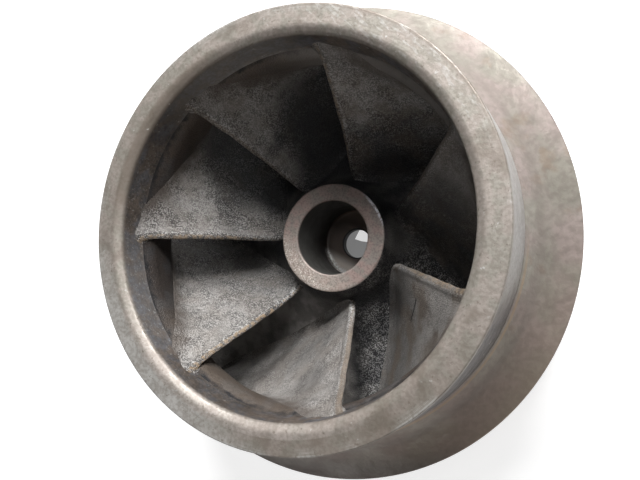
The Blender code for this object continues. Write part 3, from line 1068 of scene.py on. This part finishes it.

# The eye ring's turned faces: beige grey with stains and pale nicks, darker towards the bottom and on one
# side of the bevel as painted shade, with a painted reflection on the lower left, a painted highlight on the
# bevel's lower edge, and painted light on the land
RING_FIELDS = {
    "blotch": ("noise", 0.0045, 5, 0.40, 0.60),
    "grit": ("noise", 0.0011, 4),
    "marks": ("turning",),
    "ragged": ("wavy", "depth", 0.0035, 4, 0.0060),
    "bore": ("layered", BORE_BLUE, BORE_LAYERS),
}
RING_LAYERS = (
    ("pinkish", RING_PINK_GREY, 1, "blotch"),
    ("stains", RING_STAIN, 0.50, ("noise", 0.011, 4, 0.53, 0.66)),
    # Painted shade: darker and browner towards the bottom
    ("dull side", RING_STAIN, 0.35, ("toward", -68, 0.050, 0.072)),
    # Painted reflection of a bright window on the lower left of the face
    ("pale side", RING_WORN, 1, ("toward", 222, 0.050, 0.070),
     ("scaled", ("noise", 0.009, 3, 0.35, 0.60), 0.3, 0.6), ("radius", 0.0676, 0.0700)),
    # Painted shade on the side of the bevel that faces away from the light
    ("dull bevel", RING_STAIN, 0.75, ("radius", 0.0696, 0.0676), ("toward", 143, 0.050, 0.064)),
    # Painted highlight along the bevel's edge on the lower side
    ("clean bevel", BEVEL_CLEAN, 0.45, ("radius", 0.0697, 0.0693), ("toward", -110, 0.040, 0.064)),
    ("bore", "bore", 1, ("depth", 0.0016, 0.0036), ("radius", 0.0680, 0.0670)),
    # Wear on the face's outer edge, and below it painted light on the land on the light's side
    ("worn edge", RING_WORN, 0.95, ("radius", 0.0716, 0.0744), ("noise", 0.016, 3, 0.42, 0.58),
     ("scaled", ("marks", 0.46, 0.58), 0.6, 0.2),
     ("joined", "MAXIMUM", ("depth", 0.0024, 0.0014), ("toward", 60, 0.005, 0.035))),
    # Painted light on the land on the light's side
    ("bare land", LAND_BARE, 0.40, ("toward", 12, 0.060, 0.073), ("depth", 0.0015, 0.0030)),
    ("shaded land", LAND_SHADE, 0.85, ("toward", -45, 0.0655, 0.0725), ("depth", 0.0015, 0.0040)),
    # Painted shade that tones down the rounded edge's glint on the light's side
    ("dull rounding", RING_STAIN, 0.75, ("radius", 0.0732, 0.0744), ("toward", 55, 0.050, 0.070),
     ("depth", 0.0060, 0.0020)),
    ("scuffs", RING_WORN, 0.45, ("streaks", 0.0011, -48, 0.54, 0.62), ("toward", 52, 0.055, 0.070),
     ("depth", 0.0030, 0.0010)),
    ("nicks", RING_WORN, 0.80, ("noise", 0.0017, 4, 0.66, 0.71), ("noise", 0.012, 2, 0.50, 0.58)),
    ("pits", RING_STAIN, 0.60, ("noise", 0.0013, 3, 0.36, 0.30)),
    ("dark grit", RING_STAIN, 0.34, ("grit", 0.62, 0.38)),
)

# The outside of the shrouds and the boss: smooth skin of the mould, pinkish grey and dulled, and darker
# towards the bottom as painted shade
OUTER_FIELDS = {
    "blotch": ("noise", 0.016, 4, 0.38, 0.62),
    "fine": ("noise", 0.0024, 5, 0.36, 0.64),
    "grit": ("noise", 0.0010, 3),
    "waves": ("noise", 0.012, 2),
    "waved_radius": ("wavy", "radius", 0.014, 2, 0.0040),
    "ridge": ("off", "waved_radius", RIDGE_R, 0.0022, 0.0004),
}
OUTER_LAYERS = (
    ("pinkish", OUTER_PINK, 1, "blotch"),
    ("mottling", OUTER_DARK, 0.48, "fine"),
    ("rust", OUTER_RUST, 1,
     ("joined", "MAXIMUM", ("scaled", ("noise", 0.010, 4, 0.58, 0.72), 0.50, 0),
      ("scaled", ("toward", -60, 0.040, 0.095), 0.45, 0))),
    # Painted shade towards the bottom of the flare
    ("dark side", WALL_GREY, 0.55, ("toward", -85, 0.080, 0.092)),
    ("ridge", OUTER_DARK, 0.40, "ridge"),
    ("ochre foot", EDGE_OCHRE, 0.60, ("off", "radius", OCHRE_LINE_R, 0.0005, 0.0002),
     ("toward", -40, 0.060, 0.072)),
)

# The eye's wall as cast, under the turned bore: brown and dark, darker deeper down and just under the bore's
# step as painted shade, with some sides lightened as painted light and one darkened as painted shade
WALL_FIELDS = {
    "patch": ("noise", 0.008, 4, 0.44, 0.64),
    "speckle": SAND_SPECKLE,
    "ragged": ("wavy", "depth", 0.0030, 4, 0.0060),
}
WALL_LAYERS = (
    ("greyish", WALL_GREY, 0.70, "patch"),
    # Painted shade deeper down in the eye
    ("deep", DEEP_GREY, 1, ("depth", 0.030, 0.060)),
    ("sand pits", DEEP_BLACK, 0.45, ("scaled", "speckle", -1, 1)),
    # Painted light towards the top and the lower left
    ("clean sides", RING_STAIN, 0.40,
     ("joined", "MAXIMUM", ("toward", 108, 0.046, 0.060), ("toward", 240, 0.046, 0.060))),
    # Painted light on the side towards the light
    ("light side", VANE_LIGHT, 0.55, ("toward", 58, 0.046, 0.060)),
    # Painted shade on the left
    ("dark side", DEEP_BLACK, 0.45, ("toward", 186, 0.050, 0.062)),
    # Painted shade just under the bore's step, stronger on the side away from the light
    ("sooty top", DEEP_BLACK, 0.75, ("ragged", 0.0185, 0.0160),
     ("scaled", ("noise", 0.0050, 3, 0.42, 0.58), 0.5, 0.5), SHADED_SIDE),
)

# The hub's flow surface: nearly black, with light grains on one side, one side and a spot lightened as
# painted light, and spots darkened as painted shade
HUB_FIELDS = {"patch": ("noise", 0.007, 4, 0.40, 0.62), "speckle": SAND_SPECKLE}
HUB_SANDY_SIDE = ("joined", "MULTIPLY", ("toward", -60, 0.012, 0.030), ("toward", 0, 0.001, 0.011))
HUB_LAYERS = (
    ("greyish", DEEP_GREY, 1, "patch"),
    # Painted light on the hub's lower side
    ("dusted", VANE_LIGHT, 1, ("toward", -112, 0.018, 0.040), ("toward", 180, -0.004, 0.004),
     ("scaled", "patch", 0.45, 0.55)),
    # A spot lightened as painted light
    *spots("clean", VANE_LIGHT, HUB_CLEAN_SPOTS),
    ("sand grains", SAND_LIGHT, 1, ("speckle", 0.55, 0.95), ("scaled", "patch", 0.45, 0.40),
     ("scaled", HUB_SANDY_SIDE, 0.90, 0.08)),
    # Spots darkened as painted shade
    *spots("soot", DEEP_BLACK, HUB_SOOTY_SPOTS),
)

# The vanes: sandy, with worn ochre edges and bright tips; light towards the eye, and darker further down and
# towards the hub as painted shade, with painted shadow lowest and spots of painted shade and painted light
# Painted shade that grows further down and nearer the hub
VANE_DARKENING = ("joined", "MAXIMUM", ("depth", 0.028, 0.062), ("scaled", ("radius", 0.064, 0.028), 0.85, 0))
VANE_FIELDS = {
    **{name: ("stored", name) for name in (*VANE_LOOKS, "edge_distance", "tip_distance", "wall_distance")},
    "deep": ("joined", "ADD", VANE_DARKENING, "soot"),
    "waved_depth": ("wavy", "depth", 0.0060, 3, 0.0060),
    "waved_wall": ("wavy", "wall_distance", 0.0050, 3, 0.0040),
    "patch": ("noise", 0.011, 4, 0.40, 0.64),
    "speckle": SAND_SPECKLE,
    "sand_relief": ("joined", "MULTIPLY", "speckle", "grit"),
    "near_edge": ("edge_distance", 0.0060, 0.0020),
    "nosing": ("edge_distance", 0.0024, 0.0012),
    "uneven": ("scaled", ("noise", 0.0060, 3, 0.38, 0.60), 0.55, 0.45),
    "sanded": ("joined", "MULTIPLY", "grit", ("joined", "MAXIMUM", "uneven", "near_edge")),
}
VANE_LAYERS = (
    # Painted shade further down and towards the hub, more or less on each vane
    ("deep", DEEP_GREY, 1, "deep"),
    # Painted shadow, black, at the lowest part of some vanes
    ("night", DEEP_BLACK, 1, ("waved_depth", 0.0420, 0.0500), "night"),
    # Spots lightened as painted light
    *spots("clean", VANE_CLEAN, CLEAN_SPOTS),
    ("browned", VANE_BROWN, 1, "patch", ("scaled", "brown", 0.75, 0.15)),
    ("runs", DEEP_GREY, 0.12, ("streaks", 0.0030, 40, 0.40, 0.62)),
    ("sand pits", DEEP_BLACK, 0.70, ("scaled", "speckle", -1, 1), "sanded"),
    ("sand grains", SAND_LIGHT, 1, ("speckle", 0.65, 1), "sanded", ("scaled", "near_edge", 0.30, 0.35)),
    # Spots darkened as painted shade
    *spots("soot", DEEP_BLACK, SOOTY_SPOTS),
    ("shade by the wall", WALL_BROWN, 0.30, ("waved_wall", 0.0050, 0.0024), ("edge_distance", 0.010, 0.026)),
    # Painted shade in the crease where the vane meets the shroud's wall
    ("foot", WALL_BROWN, 0.70, ("waved_wall", 0.0038, 0.0014), ("edge_distance", 0.006, 0.016)),
    ("brown edge", VANE_BROWN, 0.80, "nosing", "edge_brown"),
    ("ochre edge", EDGE_OCHRE, 0.80, "nosing", "ochre", ("noise", 0.0019, 4, 0.42, 0.58)),
    ("worn tip", TIP_LIGHT, 0.80, ("tip_distance", 0.0150, 0.0020), ("edge_distance", 0.0042, 0.0014),
     ("speckle", 0.25, 0.75), "tip_wear"),
    *[("scratch", DEEP_BLACK, 1, ("line", start, end, SCRATCH_WIDTH, SCRATCH_WIDTH / 2))
      for start, end in zip(SCRATCH, SCRATCH[1:])],
)

# The recess for the bolt: a wall darkened as painted shade, and a floor lightened on two sides as painted
# light, with a painted highlight arc in its corner and one side darkened as painted shade
RECESS_LAYERS = (
    # Painted light on the floor's lower left
    ("light floor", RECESS_FLOOR, 1, ("toward", 243, 0.0070, 0.0125)),
    # Painted light on the floor's upper right
    ("upper side", RECESS_UPPER, 1, ("toward", 70, 0.004, 0.013)),
    # Painted shade on the left
    ("dark side", DEEP_BLACK, 0.50, ("toward", 185, 0.010, 0.0155)),
    # Painted highlight: a bright arc in the floor's corner
    ("bright arc", RECESS_BRIGHT, 1, ("toward", 228, 0.0110, 0.0135), ("radius", 0.0130, 0.0142),
     ("grit", 0.35, 0.55)),
    # The wall darkened as painted shade
    ("wall", RECESS_WALL, 1, ("depth", 0.0850, 0.0835)),
)

# The turned nose of the hub, pinkish brown and grainy, round the recess, darker on its upper right as painted
# shade and lighter on its lower left as painted light, with painted sparkles and a painted glint, and the
# bolt's hole darkened as painted shade
NOSE_FIELDS = {
    "blotch": ("noise", 0.0040, 4, 0.40, 0.60),
    "grit": ("noise", 0.0008, 3),
    "marks": ("turning",),
    "recess": ("layered", RECESS_BROWN, RECESS_LAYERS),
}
NOSE_LAYERS = (
    ("greyish", NOSE_GREY, 1, "blotch"),
    # Painted shade on the upper right, where the ring's shadow falls
    ("dark side", NOSE_DARK, 0.40, ("toward", 55, -0.006, 0.022)),
    # Painted light on the lower left
    ("light side", NOSE_LIGHT, 0.40, ("toward", 235, 0.004, 0.021)),
    ("dark grit", NOSE_DARK, 0.35, ("grit", 0.50, 0.36)),
    # Light grit of the turned face, stronger on the lower left, where it is painted light
    ("light grit", NOSE_LIGHT, 1, ("grit", 0.40, 0.60),
     ("scaled", ("toward", 235, 0.006, 0.021), 0.50, 0.15)),
    # Painted sparkling highlights on the lower left
    ("sparkle", NOSE_SPARKLE, 0.75, ("noise", 0.0006, 2, 0.54, 0.64), ("toward", 222, 0.013, 0.019)),
    # Painted shade that dims the highlight on the recess's edge
    ("inner edge", NOSE_DARK, 0.45, ("radius", 0.0168, 0.0160), ("toward", 225, 0.006, 0.014)),
    ("glint", NOSE_GLINT, 0.90, ("toward", 31, 0.0205, 0.0222), ("radius", 0.0208, 0.0222),
     ("grit", 0.35, 0.55)),
    ("recess", "recess", 1, ("depth", 0.0534, 0.0545)),
    # The bolt hole's wall darkened as painted shade
    ("bolt hole", DEEP_BLACK, 1, ("radius", 0.0076, 0.0070)),
)


# Stage, light and camera


def glowing(name, grey, glow):
    """A grey material that also gives off some light of its own, so that shadows on it stay weak."""
    material = new_material(name)
    feed(material.node_tree.nodes["Principled BSDF"], {
        "Base Color": (grey, grey, grey, 1),
        "Roughness": FLOOR_ROUGHNESS,
        "Emission Color": (1, 1, 1, 1),
        "Emission Strength": glow,
    })
    return material


def stage_piece(name, points, material):
    """A flat piece of the stage, with these corners."""
    new_object(name, new_mesh(name, points, [tuple(range(len(points)))], [material]))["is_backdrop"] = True


def floor():
    half = FLOOR_HALF_SIZE
    corners = [(-half, -half, 0), (half, -half, 0), (half, half, 0), (-half, half, 0)]
    stage_piece("floor", corners, glowing("pale_floor", FLOOR_GREY, FLOOR_GLOW))


def light_under_bore():
    """Glowing pieces that stand in for the floor seen through the bolt's hole: a dim disc as painted shade,
    and a brighter patch as a painted pool of light.
    """
    angles = np.linspace(0, math.tau, BORE_FLOOR_SIDES, endpoint=False)
    ring = [(BORE_FLOOR_R * math.cos(a), BORE_FLOOR_R * math.sin(a), BORE_FLOOR_HEIGHT) for a in angles]
    patch = [(x, y, 2 * BORE_FLOOR_HEIGHT) for x, y in LIT_PATCH]
    stage_piece("bore_floor", ring, glowing("shaded_floor", BORE_FLOOR_GREY, BORE_FLOOR_GLOW))
    stage_piece("lit_patch", patch, glowing("lit_floor", LIT_PATCH_GREY, LIT_PATCH_GLOW))


def lights():
    for name, (turn, tilt, far, size, energy, colour) in LIGHTS.items():
        light = bpy.data.lights.new(name, "AREA")
        light.shape = "DISK"
        light.energy = energy
        light.size = size
        light.color = colour
        obj = new_object(name, light)
        turn, tilt = math.radians(turn), math.radians(tilt)
        way = Vector((math.sin(tilt) * math.cos(turn), math.sin(tilt) * math.sin(turn), math.cos(tilt)))
        obj.location = Vector(LIGHTS_AIM) + way * far
        obj.rotation_euler = (-way).to_track_quat("-Z", "Y").to_euler()


def room_light():
    world = bpy.data.worlds.new("soft_room")
    world.use_nodes = True
    feed(world.node_tree.nodes["Background"], {"Color": (1, 1, 1, 1), "Strength": ROOM_LIGHT})
    bpy.context.scene.world = world


def camera():
    data = bpy.data.cameras.new("camera")
    data.lens = CAMERA_LENS
    data.clip_start = CAMERA_CLIP
    obj = new_object("camera", data)
    axes = Matrix((CAMERA_RIGHT, CAMERA_UP, CAMERA_BACK)).transposed()
    obj.matrix_world = Matrix.Translation(CAMERA_PLACE) @ axes.to_4x4()
    bpy.context.scene.camera = obj


def main():
    outside = iron("outer_iron", OUTER_GREY, OUTER_FIELDS, OUTER_LAYERS)
    ring = iron("turned_iron", RING_GREEN_GREY, RING_FIELDS, RING_LAYERS)
    wall = iron("cast_wall_iron", WALL_BROWN, WALL_FIELDS, WALL_LAYERS)
    front_nodes = ["eye_ring", "front_shroud", "front_rim"]
    turned("front_skin", front_outline(), FRONT_TURN_STEPS, [ring, outside, wall], front_slot, front_nodes)
    nose = iron("nose_iron", NOSE_PINK, NOSE_FIELDS, NOSE_LAYERS)
    hub = iron("hub_iron", DEEP_BLACK, HUB_FIELDS, HUB_LAYERS)
    hub_nodes = ["hub", "back_shroud"]
    turned("hub_skin", hub_outline(), HUB_TURN_STEPS, [nose, hub, outside], hub_slot, hub_nodes)
    boss_skin(outside)
    vane_skins(iron("vane_iron", VANE_LIGHT, VANE_FIELDS, VANE_LAYERS))
    floor()
    light_under_bore()
    lights()
    room_light()
    camera()
    bpy.context.scene.view_settings.view_transform = "Standard"


main()
size_at_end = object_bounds()
